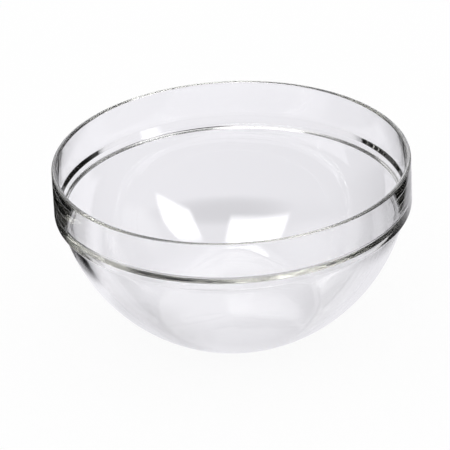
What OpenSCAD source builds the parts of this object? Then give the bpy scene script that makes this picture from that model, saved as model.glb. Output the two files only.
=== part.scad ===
// Stacking salad bowl in clear pressed glass, one piece, turned about the Z axis.
// Z = 0 is the table. The bowl stands on a ring under its floor.
// Units are millimetres.

/* [Bowl] */
// Outer diameter at the rim
rim_d = 230; // [212:1:250]
// Overall height
height = 112; // [100:1:122]
// Height of the upright band, from the underside of the shoulder to the rim
band_h = 33.5; // [30:0.5:37]
// Diameter of the standing face
base_d = 104; // [94:1:112]
// Radius of the heel between the standing face and the round side
heel_round = 9; // [6:0.5:12]
// Lean of the round side where it meets the shoulder, in degrees from upright
neck_lean = 11.5; // [9:0.5:13]

/* [Glass] */
// Thickness of the band and of its rim
wall = 3.2; // [2.6:0.1:4]
// Level distance between the neck outside and the edge of the ledge inside
neck_t = 3.9; // [3.2:0.1:4.8]
// Thickness of the floor at the standing ring
floor_t = 4.2; // [3.6:0.1:6]
// Radius between the floor and the round side, inside
floor_round = 12; // [8:0.5:16]
// How much smaller the radius of the flat floor is than that of the standing face
floor_inset = 1; // [0:0.5:4]
// Draft of the band inside, in degrees
draft = 1; // [0.4:0.1:1.6]

/* [Stacking shoulder] */
// Play all round between the side of one bowl and the mouth of the bowl below it
stack_gap = 0.5; // [0.3:0.1:1.2]
// Radius of the hollow corner under the shoulder, as a share of the width of the shoulder
corner_share = 0.16; // [0.1:0.01:0.2]
// Radius of the lower edge of the band, as a share of the width of the shoulder
edge_share = 0.8; // [0.4:0.05:0.8]
// Height of the edge of the sloped ledge inside, above the underside of the shoulder
shoulder_t = 3.4; // [2.8:0.1:4.4]
// Rise of the ledge, from its edge to the band
ledge_rise = 6; // [4.5:0.5:7.5]
// Radius of the edge of the ledge
ledge_round = 1.2; // [0.6:0.1:1.6]
// Radius of the hollow corner between the ledge and the band
ledge_fillet = 2; // [1:0.2:3]

/* [Base] */
// Width of the ring that the bowl stands on
foot_w = 10; // [6:0.5:14]
// Height of the domed hollow inside the ring
foot_h = 0.8; // [0.4:0.1:1.2]

/* [Hidden] */
$fn = 180;
rim_r = rim_d / 2;
base_r = base_d / 2;
hollow_r = base_r - foot_w;
dome_r = (hollow_r * hollow_r + foot_h * foot_h) / (2 * foot_h);

// The rim is a full round, as thick as the wall
lip_r = wall / 2;
lip_z = height - lip_r;
mouth_r = rim_r - lip_r - lip_r * cos(draft);
mouth_z = lip_z + lip_r * sin(draft);

// The side of the next bowl passes the mouth, and its shoulder rests on the rim
neck_r = mouth_r - stack_gap;
shoulder_z = height - band_h;
shoulder_w = rim_r - neck_r;
corner_round = shoulder_w * corner_share;
edge_round = shoulder_w * edge_share;

// The ledge inside slopes from the round side up to the band
ledge_z = shoulder_z + shoulder_t;
ledge_r = neck_r - neck_t;
ledge_top_z = ledge_z + ledge_rise;
ledge_top_r = band_inside(ledge_top_z);
ledge_tilt = atan2(ledge_rise, ledge_top_r - ledge_r);

// Radius of the band inside at height z
function band_inside(z) = mouth_r - (mouth_z - z) * tan(draft);

// Radius of an arc that leaves the neck at the lean angle and runs into the heel without a corner.
// run and rise are measured from the centre of the heel to the neck.
function side_radius(run, rise, heel) =
    (run * run + rise * rise - heel * heel)
    / (2 * (run * cos(neck_lean) - rise * sin(neck_lean) - heel));

// Half section of a round cup filled to the axis: flat floor, heel, round side, and a flare
// that runs into a ledge. The ledge starts at the neck and rises at the angle tilt.
module cup_section(top_r, top_z, flat_r, flat_z, heel, flare, tilt) {
    heel_z = flat_z + heel;
    side = side_radius(top_r - flat_r, top_z - heel_z, heel);
    side_x = top_r - side * cos(neck_lean);
    side_z = top_z + side * sin(neck_lean);

    // The heel runs into the side on the line through both centres
    reach = side / (side - heel);
    join_x = side_x + (flat_r - side_x) * reach;
    join_z = side_z + (heel_z - side_z) * reach;

    // The flare touches the ledge at the distance along from the neck, and it touches the side
    ledge = [cos(tilt), sin(tilt)];
    below = flare * [sin(tilt), -cos(tilt)];
    start = [top_r - side_x, top_z - side_z] + below;
    along = sqrt(pow(start * ledge, 2) - start * start + pow(side + flare, 2)) - start * ledge;
    end = [top_r, top_z] + along * ledge;
    flare_at = end + below;
    touch = [side_x, side_z] + (flare_at - [side_x, side_z]) * side / (side + flare);

    polygon([[0, flat_z], [flat_r, flat_z], [join_x, join_z], [0, join_z]]);
    translate([flat_r, heel_z])
        circle(heel);
    intersection() {
        translate([side_x, side_z])
            circle(side);
        translate([0, join_z])
            square([top_r, top_z - join_z]);
    }
    difference() {
        polygon([[0, touch[1]], touch, end, [0, end[1]]]);
        translate(flare_at)
            circle(flare);
    }
}

// Half section of the band filled to the axis, with its lower edge and its rim rounded
module band_section() {
    translate([0, shoulder_z])
        square([rim_r - edge_round, lip_z - shoulder_z]);
    translate([0, shoulder_z + edge_round])
        square([rim_r, lip_z - shoulder_z - edge_round]);
    translate([rim_r - edge_round, shoulder_z + edge_round])
        circle(edge_round);
    translate([rim_r - lip_r, lip_z])
        circle(lip_r);
}

// Half section of the space inside the band, from the edge of the ledge to the rim
module mouth_section() {
    corner = [ledge_top_r, ledge_top_z];
    reach = ledge_fillet / tan(45 + (ledge_tilt + draft) / 2);
    low_touch = corner - reach * [cos(ledge_tilt), sin(ledge_tilt)];
    high_touch = corner + reach * [sin(draft), cos(draft)];
    polygon([[0, ledge_z], [ledge_r, ledge_z], low_touch, high_touch, [mouth_r, mouth_z], [0, mouth_z]]);
    translate(high_touch + ledge_fillet * [-cos(draft), sin(draft)])
        circle(ledge_fillet);
}

// Half section of the shallow domed hollow under the floor
module foot_section() {
    intersection() {
        translate([0, foot_h - dome_r])
            circle(dome_r);
        square([hollow_r, foot_h]);
    }
}

module bowl() {
    color([0.86, 0.90, 0.88], 0.5)
        rotate_extrude()
            difference() {
                union() {
                    cup_section(neck_r, shoulder_z, base_r, 0, heel_round, corner_round, 0);
                    band_section();
                }
                cup_section(ledge_r, ledge_z, base_r - floor_inset, floor_t, floor_round, ledge_round, ledge_tilt);
                mouth_section();
                foot_section();
            }
}

bowl();
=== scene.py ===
"""Salad bowl in clear pressed glass: the bowl as it is seen, its glass, and the studio round it."""
import math

import bmesh
import bpy
from mathutils import Matrix, Vector


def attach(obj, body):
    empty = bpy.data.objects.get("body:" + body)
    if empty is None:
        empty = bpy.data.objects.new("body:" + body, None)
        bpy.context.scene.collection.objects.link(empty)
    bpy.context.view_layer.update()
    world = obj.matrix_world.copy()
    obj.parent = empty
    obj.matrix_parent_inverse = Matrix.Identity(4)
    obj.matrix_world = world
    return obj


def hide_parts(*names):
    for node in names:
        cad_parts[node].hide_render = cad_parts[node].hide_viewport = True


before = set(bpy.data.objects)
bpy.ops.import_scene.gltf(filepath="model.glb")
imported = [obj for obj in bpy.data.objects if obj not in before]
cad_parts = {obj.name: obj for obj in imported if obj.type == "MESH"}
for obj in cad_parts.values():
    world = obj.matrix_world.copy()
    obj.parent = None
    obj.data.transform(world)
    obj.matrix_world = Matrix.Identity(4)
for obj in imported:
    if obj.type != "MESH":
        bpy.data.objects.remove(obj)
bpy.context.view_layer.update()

# A millimetre in metres, and a quarter turn
MM = 0.001
QUARTER = math.pi / 2

# The bowl's sizes as the part's source has them: lengths in millimetres, two angles, and two shares of the
# width of the stacking shoulder
RIM_R = 115.0
HEIGHT = 112.0
BAND_H = 33.5
BASE_R = 52.0
HEEL_ROUND = 9.0
NECK_LEAN = math.radians(11.5)
WALL = 3.2
NECK_T = 3.9
FLOOR_T = 4.2
FLOOR_ROUND = 12.0
FLOOR_INSET = 1.0
DRAFT = math.radians(1.0)
STACK_GAP = 0.5
CORNER_SHARE = 0.16
EDGE_SHARE = 0.8
SHOULDER_T = 3.4
LEDGE_RISE = 6.0
LEDGE_ROUND = 1.2
LEDGE_FILLET = 2.0
FOOT_W = 10.0
FOOT_H = 0.8

# Steps along each arc of the section, and slices round the axis
DOME_STEPS = 6
HEEL_STEPS = 9
SIDE_STEPS = 24
CORNER_STEPS = 6
EDGE_STEPS = 12
RIM_STEPS = 18
LEDGE_STEPS = 8
FLOOR_STEPS = 10
SLICES = 720

# Corners that lie closer together than this, in metres, are one
WELD = 1e-6

# The glass: how it bends light, the colour of its surface, and the colour and density of its body
GLASS_IOR = 1.52
GLASS_SURFACE = (0.99, 0.99, 0.99, 1.0)
GLASS_BODY = (0.80, 0.80, 0.77, 1.0)
BODY_DENSITY = 8.0

# Waves that pressing leaves in the glass: the noise scales of a broad swell and a fine ripple, how much the
# ripple adds to the swell, and the height of it all in metres
SWELL_SCALE = 22.0
RIPPLE_SCALE = 75.0
RIPPLE_SHARE = 0.05
WAVE_HEIGHT = 0.0003

# Level rings in the glass: their noise scale along each axis, how much they add on the band and low on the
# side, and the heights in metres between which they come in
RING_SCALE = (9.0, 9.0, 60.0)
BAND_RINGS = 0.4
BAND_RINGS_FROM, BAND_RINGS_FULL = 0.086, 0.094
SIDE_RINGS = 0.3
SIDE_RINGS_FROM, SIDE_RINGS_FULL = 0.074, 0.062

WHITE = (1.0, 1.0, 1.0, 1.0)

# The floor: half its side and how far it lies under the bowl, in metres, the colour of its paper, and the
# share of its own light in what the camera sees of it; the rest is lit paper, which keeps the shadow
FLOOR_HALF = 6.0
FLOOR_DROP = 0.0003
PAPER = (0.94, 0.94, 0.94, 1.0)
FLOOR_GLOW = 0.92

# How bright the floor looks in the glass, its tint, and how much brighter it is at the left and darker at the
# right, from this distance in metres on
FLOOR_LEVEL = 0.895
FLOOR_TINT = (1.008, 1.0, 1.045)
SIDE_CHANGE = 0.04
SIDE_REACH = 0.2

# Round spots that add to the floor's brightness or take from it: the middle, the radii within which a spot is
# full and beyond which it is gone, in metres, and the change. The first two are painted shade, a darker ring
# round the bowl's foot with the middle under the foot lighter; the third is a lighter spot
FLOOR_TONES_AND_PAINTED_SHADE = (
    ((-0.02, 0.0), 0.0447, 0.0775, 0.105),
    ((0.0, 0.0), 0.1342, 0.1732, -0.03),
    ((0.070, 0.075), 0.0173, 0.0592, 0.09),
)

# Painted shadows on the floor, seen in the glass: the middle and the radii as above, a factor that narrows
# the spot from front to back, where 1 is round, and the share of the light that it takes
FLOOR_PAINTED_SHADOWS = (
    ((0.135, 0.150), 0.0173, 0.0671, 1.0, 0.07),
    ((-0.069, -0.045), 0.02, 0.06, 1.0, 0.18),
    ((-0.008, 0.143), 0.0, 0.0566, 5.0, 0.16),
)

# Dark zones of the floor: the axis of each soft edge, and where along it the zone starts and is full, in
# metres. The first three are dark to mirrored light only, the right one to this share
LEFT_ZONE = (("X", -0.11, -0.135), ("Y", -0.03, 0.02))
RIGHT_ZONE = (("X", 0.13, 0.155), ("Y", 0.13, 0.04), ("Y", -0.17, -0.12))
RIGHT_SHARE = 0.85
BACK_ZONE = (("X", 0.21, 0.235), ("Y", 0.05, 0.08), ("Y", 0.21, 0.17))
FAR_ZONE = (("Y", 0.55, 0.75), ("X", 0.02, -0.02))
ASIDE_ZONE = (("X", 0.4, 0.7),)

# The bowl's painted shadow on the floor in front of it: its edge, the radii between which it ends, in metres,
# and the share of the light that it takes
FRONT_PAINTED_SHADOW = (("Y", -0.04, -0.09),)
FRONT_SHADOW_INNER, FRONT_SHADOW_OUTER = 0.1581, 0.2
FRONT_SHADOW_SHARE = 0.4

# The room that the glass mirrors: its own brightness, and for each soft patch of wall or ceiling the azimuth,
# the elevation, the angles within which it is full and beyond which it is gone, all in degrees, and its
# brightness
ROOM_LEVEL = 0.01
PATCHES = (
    (80.0, 3.0, 4.0, 8.0, 0.9),
    (100.0, 6.0, 5.0, 9.0, 0.9),
    (114.0, 11.0, 8.0, 13.0, 0.6),
    (130.0, 17.0, 7.0, 12.0, 0.6),
    (144.0, 8.0, 5.0, 10.0, 0.6),
    (124.0, 29.0, 10.0, 15.0, 1.0),
    (97.0, 29.0, 6.0, 10.0, 0.8),
    (75.0, 46.0, 6.0, 11.0, 1.0),
    (100.0, 68.0, 14.0, 24.0, 1.0),
    (5.0, 29.0, 8.0, 20.0, 0.7),
)

# The two soft lights: azimuth and elevation of their corners in degrees, their brightness, and how soft their
# edges are
LIGHTS = (
    (((331.0, 23.5), (311.0, 42.0), (318.0, 61.0), (341.5, 52.0), (339.5, 38.0)), 5.0),
    (((274.0, 54.0), (214.0, 43.5), (194.0, 66.0), (293.0, 74.0)), 5.0),
)
LIGHT_EDGE = 0.035

# The camera: where it stands and what it looks at, in metres, its roll, and its lens and sensor, in
# millimetres
CAMERA_PLACE = Vector((0.0, -2.20294, 1.23698))
CAMERA_AIM = Vector((-0.00581, 0.0, 0.06451))
CAMERA_ROLL = math.radians(-2.659)
CAMERA_LENS = 309.67
CAMERA_SENSOR = 36.0

# How many times light is followed through the glass or off it
BOUNCES = 64


class Section:
    """A half section drawn in the XZ plane, in millimetres, from one moving tip."""

    def __init__(self, x, z):
        self.bm = bmesh.new()
        self.tip = self.bm.verts.new((x * MM, 0.0, z * MM))

    def line(self, x, z):
        """Draws a straight stretch to a point."""
        made = bmesh.ops.extrude_vert_indiv(self.bm, verts=[self.tip])
        self.tip = made["verts"][0]
        self.tip.co = (x * MM, 0.0, z * MM)

    def arc(self, x, z, turn, steps):
        """Swings the tip about a centre; a positive turn is anticlockwise, seen from the front."""
        made = bmesh.ops.spin(self.bm, geom=[self.tip], cent=(x * MM, 0.0, z * MM), axis=(0.0, -1.0, 0.0),
                              angle=turn, steps=steps, use_duplicate=False)
        self.tip = [g for g in made["geom_last"] if isinstance(g, bmesh.types.BMVert)][0]


class Cup:
    """Where the arcs of a round cup lie: heel, round side, and a flare into a ledge that rises at a tilt."""

    def __init__(self, top_r, top_z, flat_r, flat_z, heel, flare, tilt):
        run, rise = top_r - flat_r, top_z - flat_z - heel
        side = ((run * run + rise * rise - heel * heel)
                / (2 * (run * math.cos(NECK_LEAN) - rise * math.sin(NECK_LEAN) - heel)))
        centre = Vector((top_r - side * math.cos(NECK_LEAN), top_z + side * math.sin(NECK_LEAN)))
        self.flat_r, self.heel_z = flat_r, flat_z + heel
        self.side_x, self.side_z = centre
        # The flare touches the ledge at the distance along from the neck, and it touches the side
        neck = Vector((top_r, top_z))
        ledge = Vector((math.cos(tilt), math.sin(tilt)))
        below = flare * Vector((math.sin(tilt), -math.cos(tilt)))
        start = neck + below - centre
        along = math.sqrt(start.dot(ledge) ** 2 - start.dot(start) + (side + flare) ** 2) - start.dot(ledge)
        self.end = neck + along * ledge
        self.flare_x, self.flare_z = self.end + below
        # Directions from the centre of the side to the heel and to the flare
        self.join = math.atan2(self.heel_z - self.side_z, flat_r - self.side_x)
        self.touch = math.atan2(self.flare_z - self.side_z, self.flare_x - self.side_x)


def half_section():
    """Draws the half section of the glass, from the middle of the underside to the middle of the floor."""
    lip_r = WALL / 2
    lip_z = HEIGHT - lip_r
    mouth_r = RIM_R - lip_r - lip_r * math.cos(DRAFT)
    mouth_z = lip_z + lip_r * math.sin(DRAFT)
    neck_r = mouth_r - STACK_GAP
    shoulder_z = HEIGHT - BAND_H
    shoulder_w = RIM_R - neck_r
    edge_round = shoulder_w * EDGE_SHARE
    ledge_r, ledge_z = neck_r - NECK_T, shoulder_z + SHOULDER_T
    ledge_top_z = ledge_z + LEDGE_RISE
    ledge_top_r = mouth_r - (mouth_z - ledge_top_z) * math.tan(DRAFT)
    tilt = math.atan2(LEDGE_RISE, ledge_top_r - ledge_r)
    outer = Cup(neck_r, shoulder_z, BASE_R, 0.0, HEEL_ROUND, shoulder_w * CORNER_SHARE, 0.0)
    inner = Cup(ledge_r, ledge_z, BASE_R - FLOOR_INSET, FLOOR_T, FLOOR_ROUND, LEDGE_ROUND, tilt)

    # Underside: the shallow dome and the standing ring
    hollow_r = BASE_R - FOOT_W
    dome_r = (hollow_r ** 2 + FOOT_H ** 2) / (2 * FOOT_H)
    pen = Section(0.0, FOOT_H)
    pen.arc(0.0, FOOT_H - dome_r, -math.asin(hollow_r / dome_r), DOME_STEPS)
    pen.line(BASE_R, 0.0)
    # Outside: heel, round side, the corner under the shoulder
    pen.arc(outer.flat_r, outer.heel_z, QUARTER + outer.join, HEEL_STEPS)
    pen.arc(outer.side_x, outer.side_z, outer.touch - outer.join, SIDE_STEPS)
    pen.arc(outer.flare_x, outer.flare_z, -QUARTER - outer.touch, CORNER_STEPS)
    # Band: the shoulder's underside, the lower edge, the upright face and the rim
    pen.line(RIM_R - edge_round, shoulder_z)
    pen.arc(RIM_R - edge_round, shoulder_z + edge_round, QUARTER, EDGE_STEPS)
    pen.line(RIM_R, lip_z)
    pen.arc(RIM_R - lip_r, lip_z, math.pi - DRAFT, RIM_STEPS)
    # Inside of the band, its hollow corner and the sloped ledge down to its edge
    reach = LEDGE_FILLET / math.tan(QUARTER / 2 + (tilt + DRAFT) / 2)
    touch_r = ledge_top_r + reach * math.sin(DRAFT)
    touch_z = ledge_top_z + reach * math.cos(DRAFT)
    pen.line(touch_r, touch_z)
    pen.arc(touch_r - LEDGE_FILLET * math.cos(DRAFT), touch_z + LEDGE_FILLET * math.sin(DRAFT),
            tilt + DRAFT - QUARTER, LEDGE_STEPS)
    pen.line(*inner.end)
    pen.arc(inner.flare_x, inner.flare_z, QUARTER + inner.touch - tilt, LEDGE_STEPS)
    # Inside: round side, the round into the floor, the floor
    pen.arc(inner.side_x, inner.side_z, inner.join - inner.touch, SIDE_STEPS)
    pen.arc(inner.flat_r, inner.heel_z, -QUARTER - inner.join, FLOOR_STEPS)
    pen.line(0.0, FLOOR_T)
    return pen.bm


def put_in_scene(bm, name):
    """Makes an object of a finished mesh and puts it in the scene."""
    mesh = bpy.data.meshes.new(name)
    bm.to_mesh(mesh)
    bm.free()
    made = bpy.data.objects.new(name, mesh)
    bpy.context.scene.collection.objects.link(made)
    return made


def corner_order(face, count):
    """A number that puts the faces of a mesh with this count of corners in the order of their corners."""
    low, next_low, *_, high = sorted(corner.index for corner in face.verts)
    return (low * count + next_low) * count + high


def turn_bowl():
    """Turns the half section round the bowl's axis."""
    bm = half_section()
    # An eighth of the round is spun, and three doublings close it
    eighth = QUARTER / 2
    bmesh.ops.spin(bm, geom=bm.verts[:] + bm.edges[:], cent=(0.0, 0.0, 0.0), axis=(0.0, 0.0, 1.0),
                   angle=eighth, steps=SLICES // 8, use_duplicate=False)
    for turn in (eighth, 2 * eighth, 4 * eighth):
        copy = bmesh.ops.duplicate(bm, geom=bm.verts[:] + bm.edges[:] + bm.faces[:])
        corners = [g for g in copy["geom"] if isinstance(g, bmesh.types.BMVert)]
        bmesh.ops.rotate(bm, verts=corners, cent=(0.0, 0.0, 0.0), matrix=Matrix.Rotation(turn, 3, "Z"))
    bmesh.ops.remove_doubles(bm, verts=bm.verts[:], dist=WELD)
    bmesh.ops.recalc_face_normals(bm, faces=bm.faces[:])
    # A spin makes its faces in another order each run, so they are sorted
    bm.verts.index_update()
    count = len(bm.verts)
    bm.faces.sort(key=lambda face: corner_order(face, count))
    for face in bm.faces:
        face.smooth = True
    return put_in_scene(bm, "bowl_glass")


class Socket:
    """An output socket that takes part in arithmetic; each operation adds one Math node."""

    def __init__(self, tree, out):
        self.tree, self.out = tree, out

    def feed(self, slot):
        """Links this output to an input slot."""
        self.tree.links.new(self.out, slot)

    def math(self, operation, a, b):
        """Adds a Math node for two sockets or numbers."""
        node = self.tree.nodes.new("ShaderNodeMath")
        node.operation = operation
        for slot, value in zip(node.inputs, (a, b)):
            fill(slot, value)
        return Socket(self.tree, node.outputs[0])

    def __add__(self, other):
        return self.math("ADD", self, other)

    def __radd__(self, other):
        return self.math("ADD", other, self)

    def __sub__(self, other):
        return self.math("SUBTRACT", self, other)

    def __rsub__(self, other):
        return self.math("SUBTRACT", other, self)

    def __mul__(self, other):
        return self.math("MULTIPLY", self, other)

    def __rmul__(self, other):
        return self.math("MULTIPLY", other, self)

    def larger(self, other):
        return self.math("MAXIMUM", self, other)


def fill(slot, value):
    """Gives an input slot its link or its value."""
    if isinstance(value, Socket):
        value.feed(slot)
    else:
        slot.default_value = value


class Shading:
    """A node tree that is filled node by node."""

    def __init__(self, owner):
        owner.use_nodes = True
        self.tree = owner.node_tree
        self.tree.nodes.clear()

    def node(self, kind, settings=None, **inputs):
        """Adds a node, makes its settings, then fills its inputs, given by name or, as _1, by number."""
        node = self.tree.nodes.new(kind)
        for name, value in (settings or {}).items():
            setattr(node, name, value)
        for name, value in inputs.items():
            key = int(name[1:]) if name[0] == "_" else name.replace("_", " ")
            fill(node.inputs[key], value)
        return node

    def get(self, node, output=0):
        """An output of a node, by name or number."""
        return Socket(self.tree, node.outputs[output])

    def ramp(self, value, start, end, low=0.0, high=1.0):
        """A soft step of a value: low up to start, high from end on."""
        return self.get(self.node("ShaderNodeMapRange", {"interpolation_type": "SMOOTHSTEP"}, Value=value,
                                  From_Min=start, From_Max=end, To_Min=low, To_Max=high))

    def mirrored(self, path):
        """1 for light that was mirrored in the glass on its way, 0 for light that was not."""
        return self.ramp(self.get(path, "Glossy Depth"), 0.0, 1.0)

    def zone(self, where, edges):
        """A zone of the floor: 1 inside all its soft edges, 0 outside any of them."""
        level = 1.0
        for axis, start, full in edges:
            level = self.ramp(self.get(where, axis), start, full) * level
        return level

    def spot(self, where, middle, inner, outer, flatness=1.0):
        """A round spot of the floor: 1 within the inner radius of its middle, 0 beyond the outer radius."""
        across = self.get(where, "X") - middle[0]
        away = self.get(where, "Y") - middle[1]
        return self.ramp(across * across + flatness * away * away, outer ** 2, inner ** 2)

    def along(self, direction, axis):
        """How far a direction runs along an axis."""
        product = self.node("ShaderNodeVectorMath", {"operation": "DOT_PRODUCT"}, _0=direction, _1=axis)
        return self.get(product, "Value")

    def lobe(self, direction, middle, inner, outer):
        """A round patch of the room: 1 within the inner angle of its middle, 0 beyond the outer angle."""
        gone, full = math.cos(math.radians(outer)), math.cos(math.radians(inner))
        return self.ramp(self.along(direction, middle), gone, full)

    def window(self, direction, corners, soft):
        """A patch of the room with straight sides: 1 inside its corners, 0 outside, soft along its edges."""
        inside = sum(corners, Vector())
        level = 1.0
        for start, end in zip(corners, corners[1:] + corners[:1]):
            side = start.cross(end).normalized()
            side *= math.copysign(1.0, side.dot(inside))
            level = self.ramp(self.along(direction, side), -soft, soft) * level
        return level


def clear_glass():
    """Clear soda-lime glass with a faint body tint and the soft waves of a pressing."""
    glass = bpy.data.materials.new("clear_pressed_glass")
    s = Shading(glass)
    where = s.get(s.node("ShaderNodeTexCoord"), "Object")
    swell = s.get(s.node("ShaderNodeTexNoise", Vector=where, Scale=SWELL_SCALE, Detail=1.0, Roughness=0.4))
    ripple = s.get(s.node("ShaderNodeTexNoise", Vector=where, Scale=RIPPLE_SCALE, Detail=1.0, Roughness=0.4))
    height = s.get(s.node("ShaderNodeSeparateXYZ", Vector=where), "Z")
    on_band = s.ramp(height, BAND_RINGS_FROM, BAND_RINGS_FULL, 0.0, BAND_RINGS)
    on_side = s.ramp(height, SIDE_RINGS_FROM, SIDE_RINGS_FULL, 0.0, SIDE_RINGS)
    stretched = s.get(s.node("ShaderNodeMapping", Vector=where, Scale=RING_SCALE))
    rings = s.get(s.node("ShaderNodeTexNoise", Vector=stretched, Scale=1.0, Detail=0.0))
    waves = swell + ripple * RIPPLE_SHARE + rings * (on_band + on_side)
    relief = s.get(s.node("ShaderNodeBump", Strength=1.0, Distance=WAVE_HEIGHT, Height=waves))
    surface = s.node("ShaderNodeBsdfPrincipled", Base_Color=GLASS_SURFACE, Roughness=0.0, IOR=GLASS_IOR,
                     Transmission_Weight=1.0, Normal=relief)
    body = s.node("ShaderNodeVolumeAbsorption", Color=GLASS_BODY, Density=BODY_DENSITY)
    s.node("ShaderNodeOutputMaterial", Surface=s.get(surface), Volume=s.get(body))
    return glass


def floor_level(s, path):
    """How bright each place of the floor looks in the glass, with painted shadows and painted shade in it."""
    where = s.node("ShaderNodeSeparateXYZ", Vector=s.get(s.node("ShaderNodeTexCoord"), "Object"))
    level = s.ramp(s.get(where, "X"), -SIDE_REACH, SIDE_REACH, SIDE_CHANGE, -SIDE_CHANGE) + FLOOR_LEVEL
    # Painted shade in a ring round the bowl's foot, and a lighter spot
    for middle, inner, outer, change in FLOOR_TONES_AND_PAINTED_SHADE:
        level = s.spot(where, middle, inner, outer) * change + level
    right = RIGHT_SHARE * s.zone(where, RIGHT_ZONE)
    dark = s.zone(where, LEFT_ZONE).larger(right).larger(s.zone(where, BACK_ZONE))
    level = level * (1.0 - s.mirrored(path) * dark)
    level = level * (1.0 - s.zone(where, FAR_ZONE)) * (1.0 - s.zone(where, ASIDE_ZONE))
    # The bowl's painted shadow in front of it
    front = s.zone(where, FRONT_PAINTED_SHADOW) * s.spot(where, (0.0, 0.0), FRONT_SHADOW_INNER, FRONT_SHADOW_OUTER)
    level = level * (1.0 - FRONT_SHADOW_SHARE * front)
    # Painted shadows on the floor
    for middle, inner, outer, flatness, share in FLOOR_PAINTED_SHADOWS:
        level = level * (1.0 - share * s.spot(where, middle, inner, outer, flatness))
    return level


def floor_paper():
    """Paper, white to the camera; where the glass shows it, pale with painted shadows and soft dark zones."""
    paper = bpy.data.materials.new("floor_paper")
    s = Shading(paper)
    path = s.node("ShaderNodeLightPath")
    through = s.get(path, "Is Glossy Ray").larger(s.get(path, "Is Transmission Ray"))
    seen = (s.get(path, "Is Camera Ray") * FLOOR_GLOW).larger(through)
    level = floor_level(s, path)
    red, green, blue = (level * share for share in FLOOR_TINT)
    pale = s.get(s.node("ShaderNodeCombineColor", Red=red, Green=green, Blue=blue))
    # A Mix node's colours are its inputs 6 and 7 and its output 2
    tone = s.node("ShaderNodeMix", {"data_type": "RGBA"}, Factor=through, _6=WHITE, _7=pale)
    lit = s.get(s.node("ShaderNodeBsdfDiffuse", Color=PAPER))
    glow = s.get(s.node("ShaderNodeEmission", Color=s.get(tone, 2), Strength=1.0))
    mixed = s.get(s.node("ShaderNodeMixShader", Fac=seen, _1=lit, _2=glow))
    s.node("ShaderNodeOutputMaterial", Surface=mixed)
    return paper


def studio_floor():
    """The flat floor that the bowl stands on."""
    bm = bmesh.new()
    bmesh.ops.create_grid(bm, x_segments=1, y_segments=1, size=FLOOR_HALF)
    bmesh.ops.translate(bm, verts=bm.verts[:], vec=(0.0, 0.0, -FLOOR_DROP))
    floor = put_in_scene(bm, "studio_floor")
    floor.data.materials.append(floor_paper())


def heading(azimuth, elevation):
    """The direction with this azimuth and elevation."""
    around, up = math.radians(azimuth), math.radians(elevation)
    return Vector((math.cos(up) * math.cos(around), math.cos(up) * math.sin(around), math.sin(up)))


def studio_surround():
    """A dim room with bright patches and two soft lights, which the glass mirrors; all else sees white."""
    world = bpy.data.worlds.new("studio_surround")
    bpy.context.scene.world = world
    s = Shading(world)
    mirrored = s.mirrored(s.node("ShaderNodeLightPath"))
    look = s.get(s.node("ShaderNodeTexCoord"), "Generated")
    level = ROOM_LEVEL
    for azimuth, elevation, inner, outer, brightness in PATCHES:
        level = s.lobe(look, heading(azimuth, elevation), inner, outer) * brightness + level
    for corners, brightness in LIGHTS:
        level = s.window(look, [heading(*corner) for corner in corners], LIGHT_EDGE) * brightness + level
    grey = s.get(s.node("ShaderNodeCombineColor", Red=level, Green=level, Blue=level))
    room = s.get(s.node("ShaderNodeBackground", Color=grey))
    white = s.get(s.node("ShaderNodeBackground", Color=WHITE))
    mixed = s.get(s.node("ShaderNodeMixShader", Fac=mirrored, _1=white, _2=room))
    s.node("ShaderNodeOutputWorld", Surface=mixed)


def photograph_camera():
    """The camera, where the photograph was taken from."""
    lens = bpy.data.cameras.new("camera")
    lens.sensor_width = CAMERA_SENSOR
    lens.lens = CAMERA_LENS
    eye = bpy.data.objects.new("camera", lens)
    facing = (CAMERA_AIM - CAMERA_PLACE).to_track_quat("-Z", "Y").to_matrix()
    turn = facing @ Matrix.Rotation(CAMERA_ROLL, 3, "Z")
    eye.matrix_world = Matrix.Translation(CAMERA_PLACE) @ turn.to_4x4()
    bpy.context.scene.collection.objects.link(eye)
    bpy.context.scene.camera = eye


scene = bpy.context.scene
scene.view_settings.view_transform = "Standard"
scene.cycles.max_bounces = BOUNCES
scene.cycles.transmission_bounces = BOUNCES
scene.cycles.glossy_bounces = BOUNCES
scene.cycles.use_denoising = True

bowl = turn_bowl()
bowl.data.materials.append(clear_glass())
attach(bowl, "root")
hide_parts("bowl")
studio_floor()
studio_surround()
photograph_camera()
